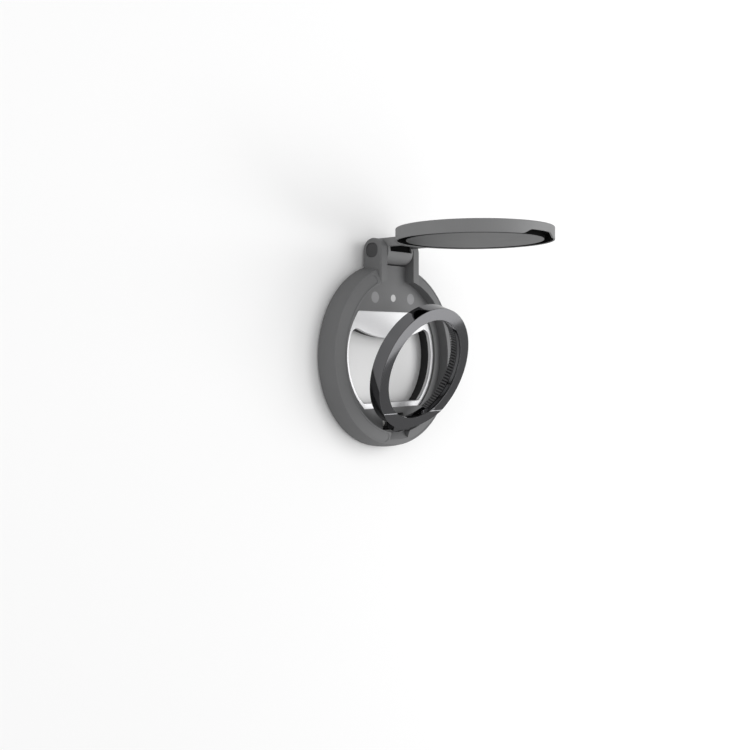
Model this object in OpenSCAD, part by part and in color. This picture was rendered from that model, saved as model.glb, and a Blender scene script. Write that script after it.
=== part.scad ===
// Magnetic phone finger loop: a round magnetic base with a bottle opener in its middle,
// a round lid that flips up on ears at the top, and a metal finger loop hinged at the bottom.
// Lies on its back. Origin at the centre of the back face, +Z away from the phone,
// +Y towards the lid hinge. Millimetres.

/* [Base] */
// Widest radius of the base
base_r = 28.9; // [28:0.1:30]
// Height of the crease between the side wall and the sloped face
crease_z = 6.93; // [6.5:0.01:7.2]
// Radius of that crease
crease_r = 28.14; // [27.8:0.01:28.3]
// Height of the face at the pocket's edge
face_z = 8.34; // [8:0.01:8.6]
// Radius of the pocket at the face
pocket_r = 24.15; // [24:0.01:24.4]
// Height of the pocket's floor
floor_z = 5.2; // [5:0.1:5.4]
// Thickness of the floor skin over the opener plate
skin_t = 0.6; // [0.5:0.1:0.8]
// Chamfer round the lower edge
base_chamfer = 0.5; // [0.3:0.1:0.6]

/* [Opening in the floor] */
// Radius of the opening's sides
opening_r = 21.1; // [20.8:0.1:21.3]
// Upper straight edge
opening_top = 13.8; // [13:0.1:14]
// Lower straight edge
opening_bottom = -16.4; // [-17:0.1:-16]
// Corner radius
opening_corner = 0.8; // [0.6:0.1:1.5]

/* [Opener plate] */
// Thickness of the steel plate
plate_t = 1.2; // [1:0.1:1.8]
// Radius of the plate
plate_r = 22.4; // [22:0.1:22.4]
// Lower straight edge of the plate
plate_bottom = -18; // [-18.1:0.1:-17.9]
// Radius of the sides of the hole
hole_r = 19.6; // [19.2:0.1:19.8]
// Lower edge of the hole
hole_bottom = -14.6; // [-15:0.1:-14]
// Lowest point of the opener's lip
lip_y = 5.2; // [4:0.1:6]
// Radius of the lip, which bulges down into the hole
lip_r = 42; // [35:1:50]
// Radius of the two lobes beside the lip
lobe_r = 2.6; // [2:0.1:2.8]

/* [Closing magnets and rivet] */
// Distance of the row from the centre
dot_y = 18.1; // [17.8:0.1:18.2]
// Distance of each closing magnet from the middle
dot_x = 8.53; // [8:0.01:9]
// Radius of a closing magnet
dot_r = 1.75; // [1.5:0.05:1.8]
// Radius of the rivet's head
rivet_head_r = 1.15; // [1:0.05:1.4]
// Radius of the rivet's shank
rivet_r = 0.75; // [0.6:0.05:0.8]

/* [Magnet ring and back] */
// Inner radius of the magnet channel
channel_in = 23.9; // [23.8:0.1:24.2]
// Outer radius of the magnet channel
channel_out = 27.3; // [27:0.1:27.4]
// Magnets in each quarter
magnets_per_quarter = 4; // [3:1:5]
// Thickness of a magnet
magnet_t = 2.2; // [1.8:0.1:2.3]
// Thickness of the steel shunt behind the magnets
shunt_t = 0.4; // [0.3:0.1:0.4]
// Thickness of the back cover
cover_t = 0.9; // [0.8:0.1:1]
// Room left round the opener's hole by the back cover
cover_room = 0.4; // [0.3:0.1:0.6]
// Thickness of the grip pad
pad_t = 0.5; // [0.4:0.1:0.6]
// Room left round the opener's hole by the grip pad
pad_room = 0.6; // [0.5:0.1:0.8]
// Radius of a cover screw's head
screw_head_r = 1.3; // [1.1:0.1:1.4]
// Radius of a cover screw's shank
screw_r = 0.7; // [0.6:0.1:0.7]

/* [Lid hinge] */
// Distance of the lid's pin from the base's centre
lid_pin_y = 32.7; // [32.5:0.1:33]
// Height of the lid's pin
lid_pin_z = 4.5; // [4.4:0.1:4.6]
// Radius of the ears round the pin
ear_r = 3.8; // [3.7:0.05:3.8]
// Room round the lid's knuckle
knuckle_room = 0.6; // [0.5:0.05:0.7]
// Inner side of the ears
ear_in = 6.3; // [6.2:0.1:6.5]
// Outer side of the ears
ear_out = 9.4; // [9:0.1:9.6]
// Radius of the lid's pin
lid_pin_r = 1; // [0.8:0.05:1.1]
// Width of a pin cap along the base
cap_w = 4.8; // [4:0.1:5.2]
// Height of a pin cap
cap_h = 4.4; // [4:0.1:4.8]
// Depth of the cap's seat in the ear
cap_seat = 0.9; // [0.6:0.1:1]

/* [Lid] */
// Distance of the lid's centre from its pin
lid_reach = 32.31; // [32.2:0.01:32.5]
// Radius of the lid
lid_r = 23.32; // [23:0.01:23.4]
// Height of the lid's underside over the pin, with the lid at a right angle
lid_under = 1.11; // [1:0.01:1.4]
// Height of the lid's top over the pin
lid_top = 4.86; // [4.5:0.01:5]
// Thickness of the rim wall
rim_t = 0.5; // [0.4:0.1:0.8]
// Thickness of the lid's top skin
lid_skin = 0.8; // [0.7:0.1:1]
// Rounding of the lid's top edge
lid_round = 0.3; // [0.2:0.1:0.5]
// Radius of the inner disc
disc_r = 20.2; // [20:0.1:20.6]
// Half the width of the scoop at the lid's underside
scoop_half = 8; // [7:0.1:9]
// Half the width of its flat bottom
scoop_flat = 4.2; // [3:0.1:5]
// Depth of that scoop
scoop_d = 1.3; // [1:0.1:1.8]
// Half the width of the knuckle
knuckle_half = 6; // [5.8:0.05:6.1]
// Height of the tongue's top over the pin
tongue_top = 3.95; // [3.6:0.05:4]

/* [Finger loop] */
// Angle of the loop from the back, as shown
loop_tilt = 20; // [20:1:20]
// Outer radius of the loop
loop_r = 19.9; // [19.7:0.1:20.1]
// Inner radius of the loop
loop_in = 16.1; // [16:0.05:16.6]
// Width of the loop's band
loop_w = 4.4; // [4:0.1:4.5]
// Distance of the loop's centre from its pin, along the loop
loop_reach = 20.7; // [20.6:0.1:20.8]
// Height of the loop's front face over its pin
loop_rise = 8.1; // [8:0.1:8.5]
// Place of the fold across the loop's front face
fold_a = -14; // [-15:0.1:-13]
// Slope of the face below the fold
fold_slope = 11; // [8:1:14]
// Flat of the hinge lug across the inside of the loop, from the loop's centre
heel_flat = -15.5; // [-15.8:0.1:-15]
// Half the width of the hinge lug
lug_half = 3.85; // [3.7:0.05:4]
// Thickness of the hinge lug
lug_t = 1.2; // [1:0.1:1.3]
// Top of the lug below the front face
lug_top = 2.9; // [2.6:0.1:3.2]
// Radius of the hinge barrel
barrel_r = 1.35; // [1.3:0.05:1.4]

/* [Ribbed liner] */
// Front edge of the liner, below the front face
liner_front = 1.95; // [1.8:0.05:2.2]
// Radius of the liner's seat
liner_seat = 17.1; // [16.9:0.1:17.5]
// Radius at the bottom of the ribs
rib_root = 16.6; // [16.5:0.05:16.8]
// Ribs in a full turn
rib_count = 104; // [80:4:240]

/* [Loop hinge] */
// Place of the loop's pin, below the base's centre
loop_pin_y = -21.08; // [-21.2:0.01:-21]
// Height of the loop's pin
loop_pin_z = 3.81; // [3.7:0.01:3.9]
// Radius of the loop's pin
loop_pin_r = 0.7; // [0.6:0.05:0.75]
// Half the length of the loop's pin
loop_pin_half = 7.4; // [7:0.1:7.6]
// Half the width of the slot in the floor
slot_half = 5; // [4.8:0.1:5.1]
// Upper edge of the slot
slot_top = -18.25; // [-18.6:0.05:-18.2]
// Lower edge of the slot
slot_bottom = -23.3; // [-23.3:0.1:-23.2]
// Half the width of the notch in the face, at the pocket
notch_half = 4.3; // [4:0.05:4.4]
// Half its width where its floor meets the face
notch_end = 3.2; // [3:0.05:4]
// Where that is, below the centre
notch_y = -26.3; // [-27:0.1:-25.5]
// Height of the notch's floor at the pocket
notch_z = 6.3; // [6:0.1:6.5]

/* [Hidden] */
$fn = 96;
eps = 0.01;
big = 60;
running = 0.03;
loose = 0.1;

web_under = floor_z - skin_t;
plate_under = web_under - plate_t;
cover_top = pad_t + cover_t;
channel_top = cover_top + magnet_t + shunt_t;
cover_r = base_r - 1.1;
pad_r = cover_r - 0.3;
rim_z = 0.1;
boss_half = 8.5;
boss_top = plate_bottom - 0.1;

// The side wall is one arc, upright at wall_mid_z, from the chamfer to the crease.
wall_mid_z = 1.6;
wall_in = base_r - crease_r;
wall_arc_r = (wall_in * wall_in + pow(crease_z - wall_mid_z, 2)) / (2 * wall_in);

// Angles of the gaps between the magnet quarters, where the cover screws go.
screw_angles = [45, 135, 225, 315];
screw_ring_r = (channel_in + channel_out) / 2;

// Rise of the sloped face over one millimetre towards the middle.
face_step = (face_z - crease_z) / (crease_r - pocket_r);
screw_gap = 9;
screw_len = 2.4;
magnet_gap = 1;
magnet_arc = (90 - screw_gap) / magnets_per_quarter - magnet_gap;

disc_top = lid_top - lid_skin;
disc_under = lid_under + 0.1;
keeper_t = 0.8;
keeper_r = 18.6;

bush_r = 1.6;
bush_wall_r = 1;
washer_r = 1.3;

// Ring of rectangular section.
module ring(r_in, r_out, z0, z1) {
    translate([0, 0, z0])
        difference() {
            cylinder(r = r_out, h = z1 - z0);
            translate([0, 0, -eps]) cylinder(r = r_in, h = z1 - z0 + 2 * eps);
        }
}

// Cylinder along X, centred, about a pin at (y, z).
module x_cylinder(r, half, y, z) {
    translate([-half, y, z]) rotate([0, 90, 0]) cylinder(r = r, h = 2 * half);
}

// Square corner of a sector, big enough for every disc here.
module sector(from, to) {
    polygon([
        [0, 0],
        [big * cos(from), big * sin(from)],
        [big * cos((from + to) / 2), big * sin((from + to) / 2)],
        [big * cos(to), big * sin(to)],
    ]);
}

// Everything above a line y.
module above(y) {
    translate([-big, y]) square([2 * big, big]);
}

// Disc cut off at two levels. Its four corners are rounded by true arcs, a hair proud of the
// tangent so that they cross it cleanly.
module cut_disc(r, top, bottom, corner) {
    top_a = asin((top - corner) / (r - corner));
    low_a = asin((bottom + corner) / (r - corner));
    top_x = (r - corner) * cos(top_a);
    low_x = (r - corner) * cos(low_a);
    for (side = [0, 180])
        intersection() {
            circle(r = r);
            if (side == 0) sector(low_a, top_a);
            else sector(180 - top_a, 180 - low_a);
        }
    polygon([
        [-top_x, top], [top_x, top], [top_x, top - corner], [low_x, bottom + corner],
        [low_x, bottom], [-low_x, bottom], [-low_x, bottom + corner], [-top_x, top - corner],
    ]);
    for (x = [-1, 1]) {
        translate([x * top_x, top - corner]) circle(r = corner + eps, $fn = 48);
        translate([x * low_x, bottom + corner]) circle(r = corner + eps, $fn = 48);
    }
}

// Half section of the base: chamfered foot, curved side wall and sloped face.
module base_section() {
    intersection() {
        translate([base_r - wall_arc_r, wall_mid_z]) circle(r = wall_arc_r, $fn = 180);
        polygon([
            [0, rim_z], [base_r - base_chamfer, rim_z], [base_r + 1, base_chamfer + 1 + rim_z],
            [crease_r + 2, crease_z - 2 * face_step], [pocket_r - 1, face_z + face_step], [0, face_z],
        ]);
    }
}

// Both ears of the lid hinge in one block with a round end about the pin.
module ear_block() {
    translate([-ear_out, 0, 0])
        rotate([90, 0, 90])
            linear_extrude(2 * ear_out) {
                translate([lid_pin_y, lid_pin_z]) circle(r = ear_r);
                translate([lid_pin_y - 12, lid_pin_z - ear_r]) square([12, 2 * ear_r]);
            }
}

// Way between the ears: level with the pocket's floor, round about the knuckle, open beyond it.
module knuckle_way() {
    translate([-ear_in, 0, 0])
        rotate([90, 0, 90])
            linear_extrude(2 * ear_in) {
                translate([lid_pin_y, lid_pin_z]) circle(r = ear_r + knuckle_room);
                translate([0, floor_z]) square(big);
                translate([lid_pin_y - 2, -1]) square(big);
            }
}

// Square plug with round corners, along X.
module cap_block(width, height, depth) {
    corner = 1.9;
    rotate([90, 0, 90])
        linear_extrude(depth) {
            square([height - 2 * corner, width], center = true);
            square([height, width - 2 * corner], center = true);
            for (y = [-1, 1], z = [-1, 1])
                translate([y * (height / 2 - corner), z * (width / 2 - corner)])
                    circle(r = corner, $fn = 48);
        }
}

// Room for the plate under the floor: a disc cut off above the loop's hinge.
module plate_room() {
    intersection() {
        circle(r = plate_r + loose);
        above(boss_top);
    }
}

// Notch in the face, through which the loop's lug swings out. It is narrower where its floor
// meets the sloped face.
module face_notch() {
    mouth_y = -pocket_r + 1.2;
    taper = (notch_half - notch_end) / (mouth_y - notch_y);
    far = -base_r - 1;
    intersection() {
        translate([-big, 0, 0])
            rotate([90, 0, 90])
                linear_extrude(2 * big)
                    polygon([
                        [mouth_y, notch_z], [-pocket_r, notch_z],
                        [notch_y, crease_z + (crease_r + notch_y) * face_step],
                        [far, crease_z + (crease_r + far) * face_step + 0.4],
                        [far, face_z + 1], [mouth_y, face_z + 1],
                    ]);
        translate([0, 0, floor_z])
            linear_extrude(face_z)
                polygon([
                    [-notch_half, mouth_y], [-notch_end - taper * (notch_y - far), far],
                    [notch_end + taper * (notch_y - far), far], [notch_half, mouth_y],
                ]);
    }
}

module at_screws() {
    for (a = screw_angles) rotate(a) translate([screw_ring_r, 0, 0]) children();
}

module base_housing() {
    color("dimgray")
        difference() {
            union() {
                rotate_extrude($fn = 180) base_section();
                ear_block();
            }
            // pocket for the lid, with the ways out of it for the tongue and the loop's lug
            translate([0, 0, floor_z]) cylinder(r = pocket_r, h = big, $fn = 180);
            knuckle_way();
            face_notch();
            // opening over the opener plate, and the plate's room
            translate([0, 0, -1]) linear_extrude(floor_z + 2)
                cut_disc(opening_r, opening_top, opening_bottom, opening_corner);
            translate([0, 0, -1]) linear_extrude(web_under + 1) plate_room();
            // recess for the back cover, and the magnet channel with its screw bosses
            translate([0, 0, -1]) cylinder(r = cover_r, h = cover_top + 1);
            difference() {
                ring(channel_in, channel_out, cover_top - eps, channel_top);
                at_screws() cylinder(r = 2, h = channel_top);
            }
            at_screws() cylinder(r = screw_r, h = cover_top + screw_len, $fn = 24);
            // slot and pin hole of the loop's hinge
            translate([-slot_half, slot_bottom, 0])
                cube([2 * slot_half, slot_top - slot_bottom, big]);
            x_cylinder(loop_pin_r, loop_pin_half, loop_pin_y, loop_pin_z, $fn = 32);
            // pin hole and cap seats in the ears
            x_cylinder(lid_pin_r, ear_out, lid_pin_y, lid_pin_z);
            for (side = [0, 1])
                mirror([side, 0, 0])
                    translate([ear_out - cap_seat, lid_pin_y, lid_pin_z])
                        cap_block(cap_w, cap_h, cap_seat + 1);
            // seats of the closing magnets and the rivet
            for (x = [-dot_x, dot_x])
                translate([x, dot_y, 0]) cylinder(r = dot_r, h = big, $fn = 48);
            translate([0, dot_y, 0]) cylinder(r = rivet_head_r, h = big, $fn = 48);
        }
}

module back_cover() {
    color("dimgray")
        difference() {
            union() {
                translate([0, 0, pad_t]) cylinder(r = cover_r, h = cover_t);
                // upstand that holds the opener plate against the floor
                translate([0, 0, cover_top - eps]) linear_extrude(plate_under - cover_top + eps) plate_disc();
            }
            linear_extrude(big, center = true) opener_hole(cover_room);
            // recess for the rivet's lower head
            translate([0, dot_y, plate_under - 0.6]) cylinder(r = rivet_head_r + loose, h = 1, $fn = 48);
            at_screws() {
                cylinder(r = screw_r + loose, h = big, $fn = 24);
                cylinder(r = screw_head_r + loose, h = cover_top - 0.4, $fn = 24);
            }
        }
}

module grip_pad() {
    color([0.2, 0.2, 0.2])
        difference() {
            cylinder(r = pad_r, h = pad_t);
            linear_extrude(big, center = true) opener_hole(pad_room);
            at_screws() translate([0, 0, -1]) cylinder(r = screw_head_r + loose, h = 3, $fn = 24);
        }
}

module base_magnets() {
    color("silver")
        for (quarter = [0:3], i = [0:magnets_per_quarter - 1])
            rotate(quarter * 90 - 45 + screw_gap / 2 + magnet_gap / 2 + i * (magnet_arc + magnet_gap))
                translate([0, 0, cover_top])
                    rotate_extrude(angle = magnet_arc)
                        translate([channel_in + loose, 0])
                            square([channel_out - channel_in - 2 * loose, magnet_t]);
}

module magnet_shunts() {
    color("gray")
        for (quarter = [0:3])
            rotate(quarter * 90 - 45 + screw_gap / 2 + magnet_gap / 2)
                translate([0, 0, cover_top + magnet_t])
                    rotate_extrude(angle = 90 - screw_gap - magnet_gap)
                        translate([channel_in + loose, 0])
                            square([channel_out - channel_in - 2 * loose, shunt_t]);
}

module cover_screws() {
    color("silver")
        at_screws() {
            translate([0, 0, cover_top - 0.4]) cylinder(r = screw_r, h = screw_len + 0.3, $fn = 24);
            difference() {
                translate([0, 0, 0.2]) cylinder(r = screw_head_r, h = cover_top - 0.6, $fn = 24);
                translate([0, 0, 0.1]) cylinder(r = 0.5, h = 0.5, $fn = 6);
            }
        }
}

// Hole of the opener: round sides, straight foot, and a lip that bulges down between two lobes.
module opener_hole(room) {
    side_r = hole_r + room;
    foot_y = hole_bottom - room;
    corner = 1.2 + room;
    arc_r = lip_r - room;
    lobe = lobe_r + room;
    lip_c = lip_y + lip_r;
    // centre of a lobe: inside the side arc and clear of the lip's arc by its own radius
    lobe_c = side_r - lobe;
    lobe_y = (lobe_c * lobe_c + lip_c * lip_c - pow(arc_r + lobe, 2)) / (2 * lip_c);
    lobe_x = sqrt(lobe_c * lobe_c - lobe_y * lobe_y);
    lobe_a = atan2(lobe_y, lobe_x);
    foot_a = asin((foot_y + corner) / (side_r - corner));
    foot_x = (side_r - corner) * cos(foot_a);
    touch = arc_r / (arc_r + lobe);
    touch_y = lip_c - (lip_c - lobe_y) * touch;
    difference() {
        union() {
            for (side = [0, 1])
                mirror([side, 0, 0])
                    intersection() {
                        circle(r = side_r);
                        sector(foot_a, lobe_a);
                    }
            polygon([
                [-foot_x, foot_y], [foot_x, foot_y], [foot_x, foot_y + corner],
                [lobe_x, lobe_y], [lobe_x * touch, touch_y],
                [-lobe_x * touch, touch_y], [-lobe_x, lobe_y], [-foot_x, foot_y + corner],
            ]);
            for (x = [-1, 1]) {
                translate([x * lobe_x, lobe_y]) circle(r = lobe + eps, $fn = 48);
                translate([x * foot_x, foot_y + corner]) circle(r = corner + eps, $fn = 48);
            }
        }
        translate([0, lip_c]) circle(r = arc_r, $fn = 180);
    }
}

// Disc of the plate, cut off above the loop's hinge.
module plate_disc() {
    intersection() {
        circle(r = plate_r);
        above(plate_bottom);
    }
}

module opener_plate() {
    color("silver")
        translate([0, 0, plate_under])
            linear_extrude(plate_t)
                difference() {
                    plate_disc();
                    opener_hole(0);
                    for (x = [-dot_x, dot_x]) translate([x, dot_y]) circle(r = dot_r, $fn = 48);
                    translate([0, dot_y]) circle(r = rivet_r, $fn = 48);
                }
}

module plate_rivet() {
    color("silver")
        translate([0, dot_y, 0]) {
            translate([0, 0, web_under]) cylinder(r = rivet_head_r, h = skin_t, $fn = 48);
            translate([0, 0, plate_under - eps])
                cylinder(r = rivet_r, h = plate_t + 2 * eps, $fn = 48);
            translate([0, 0, plate_under - 0.5]) cylinder(r = rivet_head_r, h = 0.5, $fn = 48);
        }
}

module closing_magnet() {
    color("gray")
        translate([dot_x, dot_y, plate_under]) cylinder(r = dot_r, h = floor_z - plate_under, $fn = 48);
}

module closing_magnet_left() {
    mirror([1, 0, 0]) closing_magnet();
}

module closing_magnet_right() {
    closing_magnet();
}

module lid_hinge_pin() {
    color("silver") x_cylinder(lid_pin_r, ear_out - cap_seat, lid_pin_y, lid_pin_z);
}

module pin_cap() {
    color([0.22, 0.22, 0.22])
        translate([ear_out - cap_seat, lid_pin_y, lid_pin_z]) cap_block(cap_w, cap_h, cap_seat - 0.2);
}

module pin_cap_left() {
    mirror([1, 0, 0]) pin_cap();
}

module pin_cap_right() {
    pin_cap();
}

module loop_hinge_pin() {
    color("silver") x_cylinder(loop_pin_r, loop_pin_half, loop_pin_y, loop_pin_z, $fn = 32);
}

module loop_washer() {
    color("white")
        translate([lug_half + loose / 2, loop_pin_y, loop_pin_z])
            rotate([0, 90, 0])
                difference() {
                    cylinder(r = washer_r, h = slot_half - lug_half - loose / 2, $fn = 32);
                    translate([0, 0, -1]) cylinder(r = loop_pin_r, h = 5, $fn = 32);
                }
}

module loop_washer_left() {
    mirror([1, 0, 0]) loop_washer();
}

module loop_washer_right() {
    loop_washer();
}

// Place of the lid at a right angle: its disc's axis along +Y, its centre out from the pin.
module lid_frame() {
    translate([0, lid_pin_y, lid_pin_z + lid_reach]) rotate([-90, 0, 0]) children();
}

module lid_shell() {
    color("dimgray")
        difference() {
            union() {
                lid_frame() {
                    rotate_extrude($fn = 180) {
                        translate([lid_r - rim_t, lid_under])
                            square([rim_t, lid_top - lid_round - lid_under]);
                        translate([0, disc_top]) square([lid_r - lid_round, lid_skin]);
                        translate([lid_r - lid_round, lid_top - lid_round])
                            circle(r = lid_round, $fn = 32);
                        translate([lid_r - 1, disc_top]) square([1, lid_skin - lid_round]);
                    }
                }
                difference() {
                    translate([-knuckle_half, lid_pin_y, lid_pin_z])
                        translate([0, lid_under, 0])
                            cube([2 * knuckle_half, tongue_top - lid_under, 12]);
                    lid_frame() cylinder(r = lid_r - rim_t / 2, h = disc_top, $fn = 180);
                }
                x_cylinder(tongue_top, knuckle_half, lid_pin_y, lid_pin_z);
            }
            x_cylinder(bush_r, knuckle_half + 1, lid_pin_y, lid_pin_z);
            // scoop across the rim at the free end
            translate([0, lid_pin_y + lid_under, lid_pin_z + lid_reach + disc_r + eps])
                linear_extrude(big)
                    polygon([
                        [-scoop_half, 0], [-scoop_flat, scoop_d], [scoop_flat, scoop_d],
                        [scoop_half, 0], [scoop_half, -1], [-scoop_half, -1],
                    ]);
        }
}

module lid_disc() {
    color("dimgray")
        lid_frame()
            difference() {
                translate([0, 0, disc_under]) cylinder(r = disc_r, h = disc_top - disc_under, $fn = 180);
                translate([0, 0, disc_top - keeper_t]) cylinder(r = keeper_r, h = big);
            }
}

module lid_keeper_plate() {
    color("silver")
        lid_frame() translate([0, 0, disc_top - keeper_t]) cylinder(r = keeper_r, h = keeper_t);
}

module lid_hinge_bush() {
    color("goldenrod")
        difference() {
            x_cylinder(bush_r, knuckle_half, lid_pin_y, lid_pin_z);
            x_cylinder(lid_pin_r + running, knuckle_half + 1, lid_pin_y, lid_pin_z);
        }
}

// Loop's own frame: centre of its front face, +Y along the loop away from the hinge.
module loop_frame() {
    translate([0, loop_pin_y, loop_pin_z])
        rotate([loop_tilt, 0, 0]) translate([0, loop_reach, loop_rise]) children();
}

// Everything of the loop on the far side of the fold.
module past_fold() {
    intersection() {
        children();
        translate([-big, fold_a, -big]) cube([2 * big, big, 2 * big]);
    }
}

// Hole through the loop, flat across the hinge lug.
module loop_hole() {
    intersection() {
        translate([0, 0, -loop_w - 1]) cylinder(r = loop_in, h = loop_w + 2, $fn = 180);
        translate([-big, heel_flat, -big]) cube([2 * big, 2 * big, 2 * big]);
    }
}

// Inside of the band: two fine grooves in its lip, and the liner's seat behind them.
module band_grooves() {
    groove = 0.15;
    translate([0, 0, -loop_w - 1]) cylinder(r = liner_seat, h = loop_w + 1 - liner_front, $fn = 180);
    translate([0, 0, -0.6]) cylinder(r = loop_in + groove, h = 0.25, $fn = 180);
    translate([0, 0, -liner_front + 0.1]) cylinder(r = loop_in + groove, h = 0.25, $fn = 180);
}

module finger_loop() {
    color([0.35, 0.35, 0.37])
        difference() {
            loop_frame()
                difference() {
                    union() {
                        translate([0, 0, -loop_w]) cylinder(r = loop_r, h = loop_w, $fn = 180);
                        // lug out of the foot of the band and down to the hinge barrel
                        translate([-lug_half, -loop_reach - lug_t / 2, -loop_rise])
                            cube([2 * lug_half, lug_t, loop_rise - lug_top]);
                        translate([-lug_half, -loop_reach, -loop_w + 0.1])
                            cube([2 * lug_half, loop_reach + heel_flat - 1, loop_w - 0.1 - lug_top]);
                        x_cylinder(barrel_r, lug_half, -loop_reach, -loop_rise, $fn = 48);
                    }
                    loop_hole();
                    past_fold() band_grooves();
                    // the face slopes back below the fold
                    translate([-big, fold_a, 0])
                        rotate([fold_slope, 0, 0]) translate([0, -big, 0]) cube([2 * big, big, 9]);
                }
            x_cylinder(bush_wall_r, lug_half + 1, loop_pin_y, loop_pin_z, $fn = 32);
        }
}

module loop_grip_liner() {
    steps = 2 * rib_count;
    color([0.12, 0.12, 0.12])
        loop_frame()
            past_fold()
                translate([0, 0, -loop_w])
                    linear_extrude(loop_w - liner_front)
                        difference() {
                            circle(r = liner_seat, $fn = 180);
                            polygon([
                                for (i = [0:steps - 1])
                                    let (r = i % 2 == 0 ? loop_in + 0.05 : rib_root)
                                        [r * cos(i * 360 / steps), r * sin(i * 360 / steps)],
                            ]);
                        }
}

module loop_hinge_bush() {
    color("goldenrod")
        difference() {
            x_cylinder(bush_wall_r, lug_half, loop_pin_y, loop_pin_z, $fn = 32);
            x_cylinder(loop_pin_r + running, lug_half + 1, loop_pin_y, loop_pin_z, $fn = 32);
        }
}

base_housing();
back_cover();
grip_pad();
base_magnets();
magnet_shunts();
cover_screws();
opener_plate();
plate_rivet();
closing_magnet_left();
closing_magnet_right();
lid_hinge_pin();
pin_cap_left();
pin_cap_right();
loop_hinge_pin();
loop_washer_left();
loop_washer_right();
lid_shell();
lid_disc();
lid_keeper_plate();
lid_hinge_bush();
finger_loop();
loop_grip_liner();
loop_hinge_bush();
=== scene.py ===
"""Looks for a magnetic phone finger loop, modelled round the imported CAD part.

Sizes are in millimetres until a form is finished, and the frame is in metres: the origin is
the centre of the back, +Z points away from it and +Y towards the lid's hinge.
"""

import logging
import math
from collections.abc import Callable, Sequence
from dataclasses import dataclass
from enum import Enum

import bmesh
import bpy
from mathutils import Matrix, Vector

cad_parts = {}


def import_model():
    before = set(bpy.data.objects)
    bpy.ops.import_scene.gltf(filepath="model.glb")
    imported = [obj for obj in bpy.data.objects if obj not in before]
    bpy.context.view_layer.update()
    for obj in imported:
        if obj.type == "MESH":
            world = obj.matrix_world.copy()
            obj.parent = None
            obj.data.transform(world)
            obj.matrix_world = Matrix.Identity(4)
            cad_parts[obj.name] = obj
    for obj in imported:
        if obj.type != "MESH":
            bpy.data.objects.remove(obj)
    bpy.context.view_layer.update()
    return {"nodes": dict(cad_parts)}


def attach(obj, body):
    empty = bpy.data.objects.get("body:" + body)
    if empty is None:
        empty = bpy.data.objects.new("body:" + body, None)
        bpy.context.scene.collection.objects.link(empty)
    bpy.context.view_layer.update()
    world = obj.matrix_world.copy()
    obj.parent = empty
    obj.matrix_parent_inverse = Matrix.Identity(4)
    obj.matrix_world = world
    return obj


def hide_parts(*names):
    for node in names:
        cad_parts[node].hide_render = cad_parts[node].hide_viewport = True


LOG = logging.getLogger("scene")
MM = 0.001
ROUND = 120
FINE = 180
MERGE_MM = 0.0005
SMOOTH_UP_TO = 28.0
CLOSE_MM = 0.01


class Axis(Enum):
    """Which way a drawn outline is pushed out, or turned about."""

    X = "x"
    Z = "z"


class Sock:
    """One output of a shader node, with arithmetic that makes maths nodes."""

    def __init__(self, tree: bpy.types.NodeTree, out: bpy.types.NodeSocket) -> None:
        """Wraps an output.

        Args:
            tree: The node tree that holds the output.
            out: The output.
        """
        self.tree = tree
        self.out = out

    def _maths(self, operation: str, *values: "Sock | float") -> "Sock":
        """Makes a maths node.

        Args:
            operation: The node's operation.
            values: All of its inputs, in order.

        Returns:
            The node's output.
        """
        return make(self.tree, "ShaderNodeMath", {"operation": operation}, dict(enumerate(values)))

    def __add__(self, other: "Sock | float") -> "Sock":
        """Adds."""
        return self._maths("ADD", self, other)

    __radd__ = __add__

    def __sub__(self, other: "Sock | float") -> "Sock":
        """Takes away."""
        return self._maths("SUBTRACT", self, other)

    def __rsub__(self, other: float) -> "Sock":
        """Takes this away from a number."""
        return self._maths("SUBTRACT", other, self)

    def __mul__(self, other: "Sock | float") -> "Sock":
        """Multiplies."""
        return self._maths("MULTIPLY", self, other)

    __rmul__ = __mul__

    def ramp(self, low: float, high: float) -> "Sock":
        """Spreads a range of values over 0 to 1, and limits what lies outside.

        Args:
            low: What becomes 0.
            high: What becomes 1.

        Returns:
            The limited value.
        """
        values = {"Value": self, "From Min": low, "From Max": high}
        return make(self.tree, "ShaderNodeMapRange", {"clamp": True}, values)

    def mix(self, low: "Sock | tuple", high: "Sock | tuple") -> "Sock":
        """Blends two colours by this value.

        Args:
            low: The colour at 0.
            high: The colour at 1.

        Returns:
            The blended colour.
        """
        values = {"Factor": self, 6: low, 7: high}
        return make(self.tree, "ShaderNodeMix", {"data_type": "RGBA"}, values, out=2)


def feed(tree: bpy.types.NodeTree, socket: bpy.types.NodeSocket, value: "Sock | float | tuple") -> None:
    """Links or sets a node's input.

    Args:
        tree: The node tree.
        socket: The input.
        value: What goes into it. A colour may leave out its alpha.
    """
    if isinstance(value, Sock):
        tree.links.new(value.out, socket)
    elif isinstance(value, tuple) and len(value) == 3 and socket.type == "RGBA":
        socket.default_value = (*value, 1.0)
    else:
        socket.default_value = value


def make(
    tree: bpy.types.NodeTree, kind: str, settings: dict, values: dict, out: "int | str" = 0
) -> Sock:
    """Makes any shader node.

    Args:
        tree: The node tree.
        kind: The node's type.
        settings: Its settings, made first.
        values: Values or links of its inputs, by name or place.
        out: The output that is wanted.

    Returns:
        That output.
    """
    node = tree.nodes.new(kind)
    for name, value in settings.items():
        setattr(node, name, value)
    for name, value in values.items():
        feed(tree, node.inputs[name], value)
    return Sock(tree, node.outputs[out])


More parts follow.
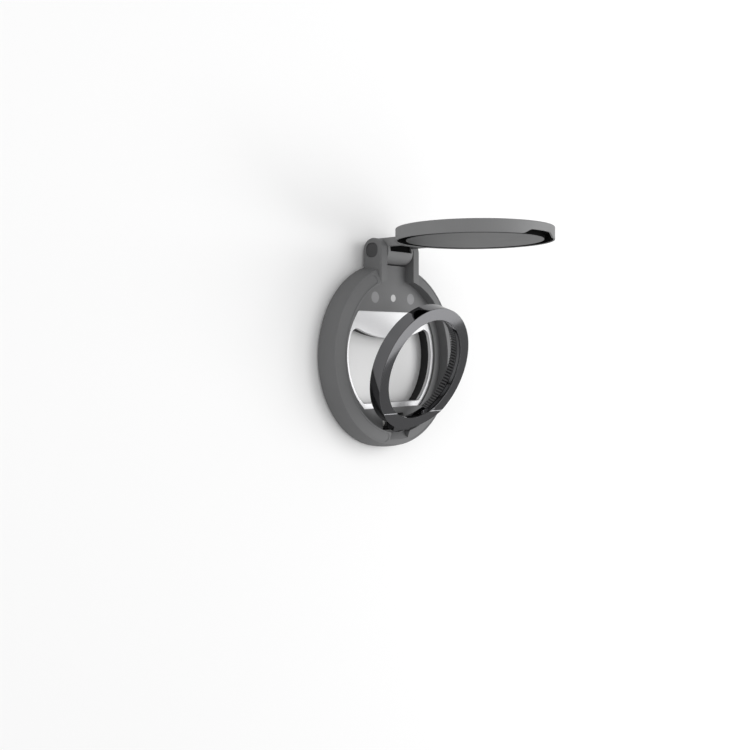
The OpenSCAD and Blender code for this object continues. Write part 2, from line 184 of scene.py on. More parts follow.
@dataclass(frozen=True)
class Finish:
    """A surface finish: fine grain and slow clouding of colour, uneven gloss and a grained skin."""

    name: str
    slot: str
    colour: tuple
    spread: float = 0.05
    roughness: float = 0.45
    uneven: float = 0.08
    metallic: float = 0.0
    grain_mm: float = 0.22
    cloud_mm: float = 9.0
    bump_mm: float = 0.012
    stretch: tuple = (1.0, 1.0, 1.0)
    specular: float = 0.5

    def material(self) -> bpy.types.Material:
        """Makes the material.

        Returns:
            The material, with its node tree filled in.
        """
        made = bpy.data.materials.new(self.name)
        made.use_nodes = True
        tree = made.node_tree
        shader = tree.nodes["Principled BSDF"]
        grain = self.noise(tree, self.grain_mm, 3.0)
        cloud = self.noise(tree, self.cloud_mm, 2.0)
        low = tuple(c * (1.0 - self.spread) for c in self.colour)
        high = tuple(c * (1.0 + self.spread) for c in self.colour)
        feed(tree, shader.inputs["Base Color"], (grain * 0.5 + cloud * 0.5).ramp(0.3, 0.7).mix(low, high))
        gloss = (cloud * 0.6 + grain * 0.4).ramp(0.3, 0.7) * self.uneven + (self.roughness - self.uneven / 2)
        feed(tree, shader.inputs["Roughness"], gloss)
        shader.inputs["Metallic"].default_value = self.metallic
        shader.inputs["Specular IOR Level"].default_value = self.specular
        height = {"Distance": self.bump_mm * MM, "Height": grain}
        feed(tree, shader.inputs["Normal"], make(tree, "ShaderNodeBump", {}, height))
        return made

    def noise(self, tree: bpy.types.NodeTree, size_mm: float, detail: float) -> Sock:
        """Makes a noise texture in object coordinates.

        Args:
            tree: The node tree.
            size_mm: The size of its lumps.
            detail: Its octaves.

        Returns:
            The noise's value.
        """
        where = make(tree, "ShaderNodeTexCoord", {}, {}, out="Object")
        spread = make(tree, "ShaderNodeMapping", {}, {"Vector": where, "Scale": self.stretch})
        values = {"Vector": spread, "Scale": 1.0 / (size_mm * MM), "Detail": detail}
        return make(tree, "ShaderNodeTexNoise", {}, values)


HOUSING = Finish("housing_plastic", "housing_plastic", (0.160, 0.161, 0.163), roughness=0.5, specular=0.3)
# Painted light: the housing plastic made lighter for the lid shell, standing for the light that falls on the
# lid's outer wall; the lid is the same plastic as the base.
HOUSING_LIT = Finish("housing_plastic_lit", "housing_plastic", (0.228, 0.229, 0.231), roughness=0.5, specular=0.3)
COVER = Finish("cover_plastic", "cover_plastic", (0.012, 0.012, 0.013), roughness=0.5)
# Painted shade: near black for the groove round the lid's disc and the relief at the tongue's foot, where
# shadow falls.
PAINTED_SHADE = Finish("painted_shade_black", "cover_plastic", (0.006, 0.006, 0.006), roughness=0.9, specular=0.08)
PAD = Finish("pad_rubber", "pad_rubber", (0.05, 0.05, 0.052), roughness=0.8, grain_mm=0.35, bump_mm=0.03)
CAP = Finish("cap_plastic", "cap_plastic", (0.06, 0.06, 0.062), roughness=0.55)
LINER = Finish("liner_plastic", "liner_plastic", (0.13, 0.13, 0.134), roughness=0.35, bump_mm=0.006)
WASHER = Finish("washer_plastic", "washer_plastic", (0.5, 0.5, 0.48), roughness=0.4)
NICKEL = Finish("magnet_nickel", "magnet_nickel", (0.25, 0.25, 0.255), metallic=0.3, roughness=0.45)
INNER = Finish("inner_steel", "inner_steel", (0.5, 0.5, 0.51), metallic=1.0, roughness=0.3)
STEEL = Finish(
    "plate_steel", "plate_steel", (0.85, 0.85, 0.86), metallic=1.0, roughness=0.42, uneven=0.1,
    grain_mm=0.12, bump_mm=0.003, stretch=(0.08, 1.0, 1.0), spread=0.04,
)
RIVET = Finish("rivet_steel", "plate_steel", (0.4, 0.4, 0.4), metallic=0.7, roughness=0.35, bump_mm=0.004)
BRASS = Finish("bush_brass", "bush_brass", (0.62, 0.45, 0.2), metallic=1.0, roughness=0.3)
LOOP = Finish(
    "loop_metal", "loop_metal", (0.175, 0.175, 0.182), metallic=1.0, roughness=0.055, uneven=0.02,
    spread=0.02, bump_mm=0.0004,
)

NODE_FINISHES = {
    COVER: ("back_cover",),
    PAD: ("grip_pad",),
    LINER: ("loop_grip_liner",),
    WASHER: ("loop_washer_left", "loop_washer_right"),
    NICKEL: ("base_magnets", "closing_magnet_left", "closing_magnet_right"),
    RIVET: ("plate_rivet",),
    INNER: ("magnet_shunts", "cover_screws", "lid_hinge_pin", "loop_hinge_pin", "lid_keeper_plate"),
    BRASS: ("lid_hinge_bush", "loop_hinge_bush"),
}

Point = tuple[float, float]


def arc(centre: Point, radius: float, start: float, end: float, steps: int) -> list[Point]:
    """Draws an arc.

    Args:
        centre: Its centre.
        radius: Its radius.
        start: Its first angle, in degrees.
        end: Its last angle.
        steps: How many parts it has.

    Returns:
        Its points, both ends among them.
    """
    angles = [math.radians(start + (end - start) * i / steps) for i in range(steps + 1)]
    return [(centre[0] + radius * math.cos(a), centre[1] + radius * math.sin(a)) for a in angles]


class Form:
    """A closed mesh that is being modelled, in millimetres."""

    def __init__(self, obj: bpy.types.Object, name: str) -> None:
        """Names a freshly added primitive.

        Args:
            obj: The primitive's object.
            name: Its name.
        """
        self.obj = obj
        obj.name = name
        obj.data.name = name

    @staticmethod
    def _outline(points: Sequence[Vector]) -> bpy.types.Object:
        """Adds a circle and draws it out to an outline.

        Args:
            points: The outline's corners.

        Returns:
            The object, in edit mode with all selected.
        """
        bpy.ops.object.select_all(action="DESELECT")
        bpy.ops.mesh.primitive_circle_add(vertices=len(points), radius=1.0)
        obj = bpy.context.object
        for vertex, point in zip(obj.data.vertices, points):
            vertex.co = point
        bpy.ops.object.mode_set(mode="EDIT")
        bpy.ops.mesh.select_all(action="SELECT")
        return obj

    @classmethod
    def _closed(cls, obj: bpy.types.Object, name: str) -> "Form":
        """Merges and turns out a shape in edit mode, and leaves edit mode.

        Args:
            obj: The object.
            name: Its name.

        Returns:
            The form.
        """
        bpy.ops.mesh.select_all(action="SELECT")
        bpy.ops.mesh.remove_doubles(threshold=MERGE_MM)
        bpy.ops.mesh.dissolve_degenerate(threshold=0.0001)
        bpy.ops.mesh.normals_make_consistent(inside=False)
        bpy.ops.object.mode_set(mode="OBJECT")
        return cls(obj, name)

    @classmethod
    def lathe(cls, name: str, outline: Sequence[Point]) -> "Form":
        """Spins an outline of radius and height about Z.

        Args:
            name: The form's name.
            outline: Its corners, as radius and height.

        Returns:
            The form.
        """
        obj = cls._outline([Vector((r, 0.0, z)) for r, z in outline])
        bpy.ops.mesh.spin(
            steps=FINE, angle=math.tau, center=(0, 0, 0), axis=(0, 0, 1), use_auto_merge=False
        )
        return cls._closed(obj, name)

    @classmethod
    def prism(
        cls, name: str, outline: Sequence[Point], low: float, high: float, axis: Axis = Axis.Z
    ) -> "Form":
        """Pushes an outline out along an axis.

        Args:
            name: The form's name.
            outline: Its corners: X and Y for Z, or Y and Z for X.
            low: Where it starts.
            high: Where it ends.
            axis: The way it is pushed.

        Returns:
            The form.
        """
        if axis is Axis.Z:
            points, push = [Vector((x, y, low)) for x, y in outline], (0, 0, high - low)
        else:
            points, push = [Vector((low, y, z)) for y, z in outline], (high - low, 0, 0)
        obj = cls._outline(points)
        bpy.ops.mesh.edge_face_add()
        bpy.ops.mesh.extrude_region_move(TRANSFORM_OT_translate={"value": push})
        return cls._closed(obj, name)

    @classmethod
    def rod(
        cls, name: str, radius: float, low: float, high: float, at: Point, axis: Axis, steps: int = 48
    ) -> "Form":
        """Makes a round rod or drill.

        Args:
            name: The form's name.
            radius: Its radius.
            low: Where it starts.
            high: Where it ends.
            at: Its place across the axis.
            axis: The way it lies.
            steps: Its sides.

        Returns:
            The form.
        """
        return cls.prism(name, arc(at, radius, 0, 360 - 360 / steps, steps - 1), low, high, axis)

    def put(self, matrix: Matrix) -> "Form":
        """Places the mesh.

        Args:
            matrix: Where it goes.

        Returns:
            The form itself.
        """
        self.obj.data.transform(matrix)
        return self

    def _boolean(self, tool: "Form", operation: str) -> "Form":
        """Joins with, or cuts by, another form, which goes.

        Args:
            tool: The other form.
            operation: The boolean's kind.

        Returns:
            The form itself.
        """
        modifier = self.obj.modifiers.new("shape", "BOOLEAN")
        modifier.operation = operation
        modifier.solver = "EXACT"
        modifier.object = tool.obj
        self._apply(modifier)
        bpy.data.objects.remove(tool.obj)
        return self

    def cut(self, *tools: "Form") -> "Form":
        """Cuts by other forms."""
        for tool in tools:
            self._boolean(tool, "DIFFERENCE")
        return self

    def join(self, *tools: "Form") -> "Form":
        """Joins with other forms."""
        for tool in tools:
            self._boolean(tool, "UNION")
        return self

    def keep(self, tool: "Form") -> "Form":
        """Keeps what lies inside another form."""
        return self._boolean(tool, "INTERSECT")

    def _apply(self, modifier: bpy.types.Modifier) -> None:
        """Applies a modifier.

        Args:
            modifier: The modifier.
        """
        bpy.ops.object.select_all(action="DESELECT")
        self.obj.select_set(True)
        bpy.context.view_layer.objects.active = self.obj
        bpy.ops.object.modifier_apply(modifier=modifier.name)

    def soften(
        self, width: float, pick: Callable[[Vector, Vector], bool], segments: int = 3, turn: float = 30.0
    ) -> "Form":
        """Rounds the sharp edges that are picked by their two ends.

        Args:
            width: How far the rounding reaches from each edge.
            pick: Whether an edge between two points is rounded.
            segments: Faces across the rounding.
            turn: The least angle between an edge's faces, in degrees.

        Returns:
            The form itself.
        """
        mesh = bmesh.new()
        mesh.from_mesh(self.obj.data)
        layers = mesh.edges.layers.float
        weights = layers.get("bevel_weight_edge") or layers.new("bevel_weight_edge")
        picked = 0
        for edge in mesh.edges:
            sharp = len(edge.link_faces) == 2 and edge.calc_face_angle() > math.radians(turn)
            chosen = sharp and pick(edge.verts[0].co, edge.verts[1].co)
            edge[weights] = 1.0 if chosen else 0.0
            picked += chosen
        mesh.to_mesh(self.obj.data)
        mesh.free()
        modifier = self.obj.modifiers.new("soft", "BEVEL")
        modifier.limit_method = "WEIGHT"
        modifier.width = width
        modifier.segments = segments
        self._apply(modifier)
        LOG.info("%s: %d edges rounded", self.obj.name, picked)
        return self

    def finish(self, body: str, finish: Finish, *nodes: str) -> bpy.types.Object:
        """Turns the mesh into a finished piece in metres that stands for CAD nodes.

        Args:
            body: The body that carries it.
            finish: Its finish.
            nodes: The CAD nodes that it replaces, if it stands for any.

        Returns:
            The piece.
        """
        self.obj.data.transform(Matrix.Scale(MM, 4))
        bpy.ops.object.select_all(action="DESELECT")
        self.obj.select_set(True)
        bpy.context.view_layer.objects.active = self.obj
        bpy.ops.object.shade_smooth_by_angle(angle=math.radians(SMOOTH_UP_TO))
        flat = self.obj.modifiers.new("flat_faces", "WEIGHTED_NORMAL")
        flat.weight = 100
        flat.keep_sharp = True
        self._apply(flat)
        self.obj.data.materials.clear()
        self.obj.data.materials.append(finish.material())
        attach(self.obj, body)
        if nodes:
            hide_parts(*nodes)
        LOG.info("piece %s on %s: %d faces", self.obj.name, body, len(self.obj.data.polygons))
        return self.obj


def on_side(a: Vector, b: Vector, half: float) -> bool:
    """Tells whether an edge lies in one of the two planes at a distance from the middle.

    Args:
        a: One end of the edge.
        b: Its other end.
        half: The distance of both planes.

    Returns:
        Whether it does.
    """
    return abs(abs(a.x) - half) < CLOSE_MM and abs(a.x - b.x) < CLOSE_MM


@dataclass
class Hinge:
    """The lid's hinge, shared by the base and the lid."""

    y: float = 32.7
    z: float = 4.5
    ear_r: float = 3.8
    ear_in: float = 6.3
    ear_out: float = 9.4
    way_r: float = 4.4
    pin_r: float = 1.0
    cap_w: float = 4.8
    cap_h: float = 4.4
    cap_corner: float = 1.9
    cap_seat: float = 0.9
    cap_sunk: float = 0.2
    cap_room: float = 0.03

    def cap_outline(self, grow: float = 0.0) -> list[Point]:
        """Draws a pin cap: a square with round corners, as Y and Z.

        Args:
            grow: How far it is let out.

        Returns:
            The outline.
        """
        across, along = self.cap_h / 2 - self.cap_corner, self.cap_w / 2 - self.cap_corner
        points = []
        corners = ((0, across, along), (90, -across, along), (180, -across, -along), (270, across, -along))
        for start, y, z in corners:
            points += arc((self.y + y, self.z + z), self.cap_corner + grow, start, start + 90, 8)
        return points


@dataclass
class Opener:
    """The steel opener plate and the hole through it."""

    top: float = 4.6
    thick: float = 1.2
    plate_r: float = 22.4
    plate_bottom: float = -18.0
    hole_r: float = 19.6
    hole_bottom: float = -14.6
    foot_corner: float = 1.2
    lip_y: float = 5.2
    lip_r: float = 42.0
    lobe_r: float = 2.6
    dot_x: float = 8.53
    dot_y: float = 18.1
    dot_r: float = 1.75
    rivet_r: float = 0.75
    rivet_head_r: float = 1.15
    hole_soft: float = 0.32
    hole_top: float = 12.0

    def hole(self) -> list[Point]:
        """Draws the hole: round sides, a straight foot, and a lip between two lobes.

        Returns:
            The outline, as X and Y.
        """
        lip_c = self.lip_y + self.lip_r
        lobe_c = self.hole_r - self.lobe_r
        lobe_y = (lobe_c**2 + lip_c**2 - (self.lip_r + self.lobe_r) ** 2) / (2 * lip_c)
        lobe_x = math.sqrt(lobe_c**2 - lobe_y**2)
        foot_c = self.hole_r - self.foot_corner
        foot_y = self.hole_bottom + self.foot_corner
        foot_x = math.sqrt(foot_c**2 - foot_y**2)
        side_from = math.degrees(math.atan2(foot_y, foot_x))
        side_to = math.degrees(math.atan2(lobe_y, lobe_x))
        touch = math.degrees(math.atan2(lip_c - lobe_y, -lobe_x))
        half = arc((foot_x, foot_y), self.foot_corner, -90, side_from, 8)
        half += arc((0, 0), self.hole_r, side_from, side_to, 40)[1:]
        half += arc((lobe_x, lobe_y), self.lobe_r, side_to, touch, 16)[1:]
        lip_start = math.degrees(math.atan2(lobe_y - lip_c, lobe_x))
        half += arc((0, lip_c), self.lip_r, lip_start, -90, 14)[1:]
        return half + [(-x, y) for x, y in reversed(half[:-1])]

    def build(self) -> None:
        """Builds the plate."""
        low = self.top - self.thick
        through = (low - 1, self.top + 1)
        edge = math.degrees(math.asin(self.plate_bottom / self.plate_r))
        disc = arc((0, 0), self.plate_r, edge, 180 - edge, ROUND)
        plate = Form.prism("opener_blade", disc, low, self.top)
        plate.cut(Form.prism("blade_hole", self.hole(), *through))
        for x, radius in ((-self.dot_x, self.dot_r), (self.dot_x, self.dot_r), (0, self.rivet_r)):
            plate.cut(Form.rod("dot_hole", radius, *through, (x, self.dot_y), Axis.Z))

        def on_hole(a: Vector, b: Vector) -> bool:
            """Tells whether an edge runs round the hole on the plate's top or underside.

            Args:
                a: One end of the edge.
                b: Its other end.

            Returns:
                Whether it does.
            """
            level = abs(a.z - b.z) < CLOSE_MM
            inside = max(a.xy.length, b.xy.length) < self.hole_r + 0.05
            return level and inside and max(a.y, b.y) < self.hole_top

        plate.soften(self.hole_soft, on_hole, segments=4)
        plate.finish("base", STEEL, "opener_plate")


@dataclass
class Housing:
    """The base's housing: a turned body with ears, a notch, an opening and a slot."""

    hinge: Hinge
    opener: Opener
    base_r: float = 28.9
    rim_z: float = 0.1
    chamfer: float = 0.5
    wall_z: float = 1.6
    crease_z: float = 6.93
    crease_r: float = 28.14
    face_z: float = 8.34
    pocket_r: float = 24.15
    floor_z: float = 5.2
    web_z: float = 4.6
    cover_r: float = 27.8
    cover_z: float = 1.4
    channel_in: float = 23.9
    channel_out: float = 27.3
    channel_z: float = 4.0
    opening_r: float = 21.1
    opening_top: float = 13.8
    opening_bottom: float = -16.4
    opening_corner: float = 0.8
    slot_half: float = 5.0
    slot_top: float = -18.25
    slot_bottom: float = -23.3
    pin_y: float = -21.08
    pin_z: float = 3.81
    pin_r: float = 0.7
    pin_half: float = 7.4
    notch_half: float = 4.3
    notch_far: float = 4.38209
    notch_y: float = -26.3
    notch_z: float = 6.3
    panel_depth: float = 0.12
    panel_in: float = 24.75
    panel_out: float = 27.55
    panel_from: float = -76.0
    panel_to: float = 63.0
    web_r: float = 22.5
    web_bottom: float = -18.1
    slot_corner: float = 0.5
    rim_soft: float = 0.25
    ear_root: float = 11.2
    ear_step: float = 0.6
    ear_soft: float = 0.7
    way_soft: float = 0.3
    mouth_soft: float = 0.9
    mouth_drop: float = 0.4

    def _slope(self) -> float:
        """Rise of the sloped face for each millimetre towards the middle."""
        return (self.face_z - self.crease_z) / (self.crease_r - self.pocket_r)

    def _face(self, radius: float) -> float:
        """Height of the sloped face at a radius."""
        return self.crease_z + (self.crease_r - radius) * self._slope()

    def _section(self) -> list[Point]:
        """Draws the half section of the turned body, with its crease and rims rounded.

        Returns:
            The outline, as radius and height.
        """
        bulge = self.base_r - self.crease_r
        wall_r = (bulge**2 + (self.crease_z - self.wall_z) ** 2) / (2 * bulge)
        centre = (self.base_r - wall_r, self.wall_z)
        low = math.degrees(math.asin((self.rim_z + self.chamfer - self.wall_z) / wall_r))
        high = math.degrees(math.asin((self.crease_z - 0.35 - self.wall_z) / wall_r))
        wall = arc(centre, wall_r, low, high, 14)
        ease = self.crease_r - 0.3
        crease = [
            (self.crease_r + 0.055, self.crease_z - 0.12), (self.crease_r - 0.06, self.crease_z),
            (ease, self._face(ease) - 0.012),
        ]
        rim = self.rim_soft
        pocket = arc((self.pocket_r + rim, self.face_z - rim - 0.08), rim, 70, 180, 6)
        return [
            (0, self.floor_z), (0, self.web_z), (self.web_r, self.web_z), (self.web_r, self.cover_z),
            (self.channel_in, self.cover_z), (self.channel_in, self.channel_z),
            (self.channel_out, self.channel_z), (self.channel_out, self.cover_z),
            (self.cover_r, self.cover_z), (self.cover_r, self.rim_z),
            (self.base_r - self.chamfer, self.rim_z), *wall, *crease, *pocket, (self.pocket_r, self.floor_z),
        ]

    def _ears(self) -> Form:
        """Models both ears as one block with soft outer edges.

        Returns:
            The block.
        """
        hinge = self.hinge
        root, foot = hinge.y - self.ear_root, hinge.z - hinge.ear_r
        outline = arc((hinge.y, hinge.z), hinge.ear_r, -90, 90, 24)
        outline += [(root, hinge.z + hinge.ear_r), (root, foot + self.ear_step)]
        outline += [(hinge.y - 6, foot + self.ear_step), (hinge.y - 5, foot)]
        block = Form.prism("ears", outline, -hinge.ear_out, hinge.ear_out, Axis.X)
        return block.soften(self.ear_soft, lambda a, b: on_side(a, b, hinge.ear_out), segments=5)

    def _way(self) -> Form:
        """Models the way between the ears, round about the knuckle and open beyond it.

        Returns:
            The cutter.
        """
        hinge = self.hinge
        near, behind, beyond = 10, hinge.y - 2, hinge.y + 8
        below, above = -2, hinge.z + hinge.way_r + 4
        start = 180 - math.degrees(math.asin((self.floor_z - hinge.z) / hinge.way_r))
        outline = [(near, self.floor_z), *arc((hinge.y, hinge.z), hinge.way_r, start, 243, 20)]
        outline += [(behind, below), (beyond, below), (beyond, above), (near, above)]
        return Form.prism("knuckle_way", outline, -hinge.ear_in, hinge.ear_in, Axis.X)

    def _notch(self) -> Form:
        """Models the notch that the loop's lug swings through, with a rounded mouth.

        Returns:
            The cutter.
        """
        lip = self.mouth_soft
        far = -self.base_r - 1
        mouth = -math.sqrt(self.pocket_r**2 - (self.notch_half + lip) ** 2) - 0.02
        side = [(self.notch_far, far)]
        side += arc((self.notch_half + lip, mouth - lip), lip, 180, 90, 6)
        side += [(self.notch_half + lip, mouth + 1.0)]
        plan = side + [(-x, y) for x, y in reversed(side)]
        block = Form.prism("notch", plan, self.floor_z, self.face_z + 2)
        sill = self.notch_z - self.mouth_drop
        floor = [
            (mouth + 1.5, sill), (mouth + 0.1, sill),
            (-self.pocket_r - 0.35, self.notch_z + 0.05), (self.notch_y, self._face(-self.notch_y)),
            (far, self._face(-far) + 0.4), (far, self.face_z + 3), (mouth + 1.5, self.face_z + 3),
        ]
        return block.keep(Form.prism("notch_floor", floor, -8, 8, Axis.X))

    def _panel(self, side: int) -> Form:
        """Models the shallow recess in one half of the sloped face, round at both ends.

        Args:
            side: 1 for the right half and -1 for the left.

        Returns:
            The cutter.
        """
        inner, outer = self.panel_in, self.panel_out
        middle, half = (inner + outer) / 2, (outer - inner) / 2
        start, end = self.panel_from, self.panel_to
        tips = [arc((0, 0), middle, angle, angle, 1)[0] for angle in (start, end)]
        outline = arc((0, 0), outer, start, end, 60)
        outline += arc(tips[1], half, end, end + 180, 12)[1:-1]
        outline += arc((0, 0), inner, end, start, 60)
        outline += arc(tips[0], half, start + 180, start + 360, 12)[1:-1]
        plan = [(side * x, y) for x, y in outline]
        cutter = Form.prism("panel", plan if side > 0 else plan[::-1], self.crease_z - 1, self.face_z + 1)
        low = [(r, self._face(r) - self.panel_depth) for r in (23.0, 29.5)]
        return cutter.keep(Form.lathe("panel_depth", [low[0], low[1], (29.5, 12), (23.0, 12)]))

    def _opening(self) -> list[Point]:
        """Draws the opening in the floor: a disc cut off above and below, with small corners.

        Returns:
            The outline, as X and Y.
        """
        corner = self.opening_corner
        inner = self.opening_r - corner
        top, low = self.opening_top - corner, self.opening_bottom + corner
        top_a, low_a = (math.degrees(math.asin(y / inner)) for y in (top, low))
        half = arc((math.sqrt(inner**2 - low**2), low), corner, -90, low_a, 5)
        half += arc((0, 0), self.opening_r, low_a, top_a, 50)[1:-1]
        half += arc((math.sqrt(inner**2 - top**2), top), corner, top_a, 90, 5)
        return half + [(-x, y) for x, y in reversed(half)]

    def build(self) -> None:
        """Builds the housing."""
        hinge, opener = self.hinge, self.opener
        body = Form.lathe("housing_body", self._section())
        below = [(-30, -30), (30, -30), (30, self.web_bottom), (-30, self.web_bottom)]
        out, up = self.web_r + 0.1, self.web_z + 0.1
        infill = Form.lathe("infill", [(0, self.cover_z), (out, self.cover_z), (out, up), (0, up)])
        body.join(infill.keep(Form.prism("hinge_side", below, 0, 9)))
        body.join(self._ears().cut(Form.rod("pocket", self.pocket_r, self.floor_z, 20, (0, 0), Axis.Z, FINE)))
        body.cut(self._way(), self._notch())
        body.cut(self._panel(1), self._panel(-1))
        body.cut(Form.prism("opening", self._opening(), 2, 7))
        corner = self.slot_corner
        slot = arc((self.slot_half - corner, self.slot_top - corner), corner, 0, 90, 6)
        slot = [(self.slot_half, self.slot_bottom), *slot]
        body.cut(Form.prism("slot", slot + [(-x, y) for x, y in reversed(slot)], -1, 9))
        loop_pin = (-self.pin_half, self.pin_half, (self.pin_y, self.pin_z))
        lid_pin = (-hinge.ear_out, hinge.ear_out, (hinge.y, hinge.z))
        body.cut(Form.rod("loop_pin_hole", self.pin_r, *loop_pin, Axis.X, 32))
        body.cut(Form.rod("lid_pin_hole", hinge.pin_r, *lid_pin, Axis.X, 32))
        for side in (-1, 1):
            seat = sorted((side * (hinge.ear_out - hinge.cap_seat), side * (hinge.ear_out + 1)))
            body.cut(Form.prism("cap_seat", hinge.cap_outline(hinge.cap_room), *seat, Axis.X))
            body.cut(Form.rod("magnet_seat", opener.dot_r, 3, 9, (side * opener.dot_x, opener.dot_y), Axis.Z))
        body.cut(Form.rod("rivet_seat", opener.rivet_head_r, 3, 9, (0, opener.dot_y), Axis.Z))

        def on_ear(a: Vector, b: Vector) -> bool:
            """Tells whether an edge runs round the inner side of an ear, clear of the pocket.

            Args:
                a: One end of the edge.
                b: Its other end.

            Returns:
                Whether it does.
            """
            pin = Vector((hinge.y, hinge.z))
            return all(
                abs(abs(p.x) - hinge.ear_in) < CLOSE_MM
                and (
                    abs(p.z - hinge.z - hinge.ear_r) < 0.02
                    or (p.y > hinge.y - 2.1 and (p.yz - pin).length > hinge.ear_r - 0.02)
                )
                for p in (a, b)
            )

        body.soften(self.way_soft, on_ear)
        body.finish("base", HOUSING, "base_housing")


@dataclass
class PinCaps:
    """The plugs over both ends of the lid's pin."""

    hinge: Hinge
    soft: float = 0.2

    def build(self) -> None:
        """Builds both caps."""
        hinge = self.hinge
        for side, name in ((-1, "left"), (1, "right")):
            outer = side * (hinge.ear_out - hinge.cap_sunk)
            low, high = sorted((side * (hinge.ear_out - hinge.cap_seat), outer))
            cap = Form.prism(f"cap_{name}", hinge.cap_outline(), low, high, Axis.X)
            cap.soften(
                self.soft, lambda a, b, face=outer: max(abs(a.x - face), abs(b.x - face)) < CLOSE_MM
            )
            cap.finish("base", CAP, f"pin_cap_{name}")


@dataclass
class Lid:
    """The flip lid, modelled about its own axis and stood up on its hinge."""

    hinge: Hinge
    reach: float = 32.31
    radius: float = 23.32
    under: float = 1.11
    top: float = 4.86
    rim: float = 0.5
    skin: float = 0.8
    rounding: float = 0.3
    disc_r: float = 20.2
    keeper_r: float = 18.6
    keeper_t: float = 0.8
    knuckle_half: float = 6.0
    tongue_top: float = 3.95
    bush_r: float = 1.6
    scoop_half: float = 8.0
    scoop_flat: float = 4.2
    scoop_deep: float = 1.3
    edge_soft: float = 0.12
    tongue_long: float = 12.0
    tongue_step: float = 0.16
    tongue_soft: float = 0.35
    relief_from: float = -5.0
    relief_to: float = 5.2
    relief_low: tuple = (-0.3, 2.9)
    relief_high: tuple = (2.3, 8.0)
    relief_shade_lining: float = 0.25
    disc_sunk: float = 0.1
    disc_soft: float = 0.2
    lining: float = 0.2
    lining_sunk: float = 0.25

    def _stand(self) -> Matrix:
        """Place of the lid at a right angle to the base, its axis along +Y."""
        centre = (0, self.hinge.y, self.hinge.z + self.reach)
        return Matrix.Translation(centre) @ Matrix.Rotation(math.radians(-90), 4, "X")

    def _scoop(self) -> Form:
        """Models the shallow scoop across the rim at the free end, with a smooth run at both sides.

        Returns:
            The cutter.
        """
        steps = 10
        run = []
        for i in range(steps + 1):
            share = i / steps
            x = self.scoop_half + (self.scoop_flat - self.scoop_half) * share
            run.append((x, self.scoop_deep * (0.5 - 0.5 * math.cos(math.pi * share))))
        level = self.hinge.y + self.under
        half = [(self.scoop_half, level - 1)] + [(x, level + y) for x, y in run]
        plan = half + [(-x, y) for x, y in reversed(half)]
        start = self.hinge.z + self.reach + self.disc_r + 0.01
        return Form.prism("scoop", plan, start, start + 8)

    def _inside(self) -> float:
        """Height of the cup's inner face over the pin."""
        return self.top - self.skin

    def _cup(self) -> Form:
        """Models the cup, with soft edges round its rim and its top.

        Returns:
            The cup.
        """
        soft, room, inside = self.edge_soft, self.radius - self.rim, self._inside()
        section = [(0, self.top), (0, inside), (room, inside), (room, self.under + soft)]
        section += arc((room + soft, self.under + soft), soft, 180, 270, 3)[1:]
        section += arc((self.radius - soft, self.under + soft), soft, 270, 360, 3)
        section += arc((self.radius - self.rounding, self.top - self.rounding), self.rounding, 0, 90, 5)
        return Form.lathe("lid_cup", section).put(self._stand())

    def _tongue(self) -> Form:
        """Models the tongue and the knuckle at its foot, clear of the cup's inside.

        Returns:
            The tongue.
        """
        hinge = self.hinge
        top, under, far = hinge.y + self.tongue_top, hinge.y + self.under, hinge.z + self.tongue_long
        knuckle = arc((hinge.y, hinge.z), self.tongue_top, 0, -270, 48)[::-1]
        outline = knuckle[:-1] + [
            (top, hinge.z), (top, far), (under, far), (under, hinge.z + self.tongue_top - self.tongue_step),
        ]
        tongue = Form.prism("tongue", outline, -self.knuckle_half, self.knuckle_half, Axis.X)
        tongue.soften(self.tongue_soft, lambda a, b: on_side(a, b, self.knuckle_half))
        radius = self.radius - self.rim / 2
        room = Form.rod("cup_room", radius, 0, self._inside(), (0, 0), Axis.Z, FINE)
        return tongue.cut(room.put(self._stand()))

    def _relief(self) -> tuple[Form, Form]:
        """Models the relief at the foot of the tongue.

        Returns:
            The cutter, and the black lining that paints shade into it.
        """
        low_y, high_y = (self.hinge.y + corner[0] for corner in (self.relief_low, self.relief_high))
        low_z, high_z = (self.hinge.z + corner[1] for corner in (self.relief_low, self.relief_high))
        wall = self.relief_shade_lining
        whole = [(low_y, low_z), (high_y, low_z), (high_y, high_z), (low_y, high_z)]
        lining = [
            (low_y + wall, low_z), (high_y, low_z), (high_y, high_z), (high_y - wall, high_z),
            (high_y - wall, low_z + wall), (low_y + wall, low_z + wall),
        ]
        along = (self.relief_from, self.relief_to, Axis.X)
        return Form.prism("relief", whole, *along), Form.prism("relief_shade_lining", lining, *along)

    def _disc(self) -> Form:
        """Models the inner disc, hollow behind for the keeper plate.

        Returns:
            The disc.
        """
        low, inside, edge = self.under + self.disc_sunk, self._inside(), self.disc_soft
        section = [(0, inside - self.keeper_t), (0, low)]
        section += arc((self.disc_r - edge, low + edge), edge, -90, 0, 4)
        section += [(self.disc_r, inside), (self.keeper_r, inside), (self.keeper_r, inside - self.keeper_t)]
        return Form.lathe("lid_inner_disc", section).put(self._stand())

    def _groove_shade(self) -> Form:
        """Models a black lining in the groove between the disc and the rim, painted shade that stands for the
        groove's deep shadow.

        Returns:
            The gasket.
        """
        room, wall, inside = self.radius - self.rim, self.lining, self._inside()
        near, far = self.under + self.disc_sunk + self.disc_soft, self.under + self.lining_sunk
        section = [
            (self.disc_r, near), (self.disc_r + wall, near), (self.disc_r + wall, inside - wall),
            (room - wall, inside - wall), (room - wall, far), (room, far), (room, inside),
            (self.disc_r, inside),
        ]
        return Form.lathe("groove_painted_shade", section).put(self._stand()).cut(self._scoop())

